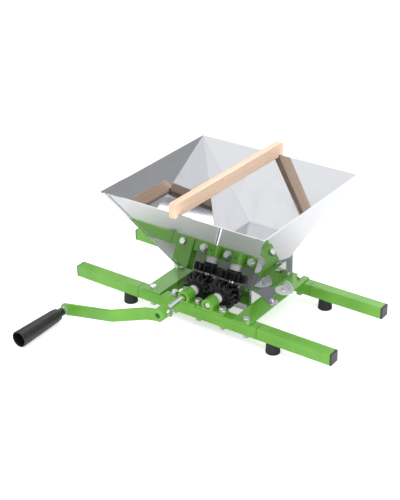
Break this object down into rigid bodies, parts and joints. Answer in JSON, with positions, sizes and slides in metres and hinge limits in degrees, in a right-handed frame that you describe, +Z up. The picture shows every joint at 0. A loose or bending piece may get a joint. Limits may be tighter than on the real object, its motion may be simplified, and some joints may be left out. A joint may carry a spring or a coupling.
{
  "type": "grape crusher",
  "caption": "Hand-cranked grape crusher: a flared sheet-steel hopper over geared fluted rollers, on a painted tube frame that spans a tub, with a wooden bar across the rim.",
  "frame": {"origin": "on the floor under the middle of the tube frame, level with the undersides of the rubber feet", "axes": "+X along the rails, +Y from the crank side to the back, +Z up"},
  "size_m": [0.61, 0.5524, 0.2908],
  "materials": {
    "frame_paint": "glossy apple-green paint",
    "cap_plastic": "black moulded caps with greyed faces",
    "foot_rubber": "black moulded rubber",
    "zinc_fasteners": "bright zinc plate",
    "bush_nylon": "white nylon",
    "shaft_steel": "bright ground bar",
    "gear_iron": "dark grey, lightly oiled",
    "roller_metal": "machined, satin",
    "hopper_steel": "mirror-polished stainless sheet",
    "clip_steel": "satin rolled stainless sheet",
    "grip_plastic": "black moulded plastic",
    "bar_wood": "planed pale beech, unfinished"
  },
  "bodies": {
    "frame": {"arm_front_left": "frame_paint", "arm_front_right": "frame_paint", "arm_rear_left": "frame_paint", "arm_rear_right": "frame_paint", "bearing_bolts": "zinc_fasteners", "bearing_front_left": "frame_paint", "bearing_front_right": "frame_paint", "bearing_nuts": "zinc_fasteners", "bearing_rear_left": "frame_paint", "bearing_rear_right": "frame_paint", "bearing_washers": "zinc_fasteners", "cover_screws": "zinc_fasteners", "cross_bar_bolts": "zinc_fasteners", "cross_bar_nuts": "zinc_fasteners", "cross_bar_washers": "zinc_fasteners", "end_caps": "cap_plastic", "foot_screws": "zinc_fasteners", "front_bushes": "bush_nylon", "front_rail": "frame_paint", "hopper_back": "hopper_steel", "hopper_front": "hopper_steel", "hopper_left": "hopper_steel", "hopper_right": "hopper_steel", "hopper_screws": "zinc_fasteners", "left_chute": "hopper_steel", "left_clip": "clip_steel", "left_cross_bar": "frame_paint", "rear_bushes": "bush_nylon", "rear_cover": "clip_steel", "rear_rail": "frame_paint", "right_chute": "hopper_steel", "right_clip": "clip_steel", "right_cross_bar": "frame_paint", "rubber_feet": "foot_rubber", "spring_washers": "zinc_fasteners"},
    "drive": {"drive_shaft": "shaft_steel", "drive_roller": "roller_metal", "drive_gear": "gear_iron", "drive_keys": "shaft_steel", "drive_ring": "zinc_fasteners", "crank_arm": "frame_paint", "crank_set_bolt": "zinc_fasteners", "grip_spindle": "zinc_fasteners", "spindle_nuts": "zinc_fasteners"},
    "grip": {"crank_grip": "grip_plastic"},
    "idler": {"idler_shaft": "shaft_steel", "idler_roller": "roller_metal", "idler_gear": "gear_iron", "idler_keys": "shaft_steel", "idler_ring": "zinc_fasteners"},
    "bar": {"wooden_bar": "bar_wood"}
  },
  "joints": [
    {"name": "crank_turn", "type": "hinge", "parent": "frame", "child": "drive", "pos_m": [-0.0285, 0, 0.0605], "axis": [0, 1, 0], "continuous": true},
    {"name": "idler_turn", "type": "hinge", "parent": "frame", "child": "idler", "pos_m": [0.0285, 0, 0.0605], "axis": [0, 1, 0], "continuous": true},
    {"name": "grip_spin", "type": "hinge", "parent": "drive", "child": "grip", "pos_m": [-0.24218, -0.29, 0.0173], "axis": [0, 1, 0], "continuous": true},
    {"name": "bar_lift", "type": "slide", "parent": "frame", "child": "bar", "axis": [0, 0, 1], "range_m": [0, 0.06]}
  ],
  "couplings": [
    {"joint": "idler_turn", "follows": "crank_turn", "ratio": -1}
  ]
}
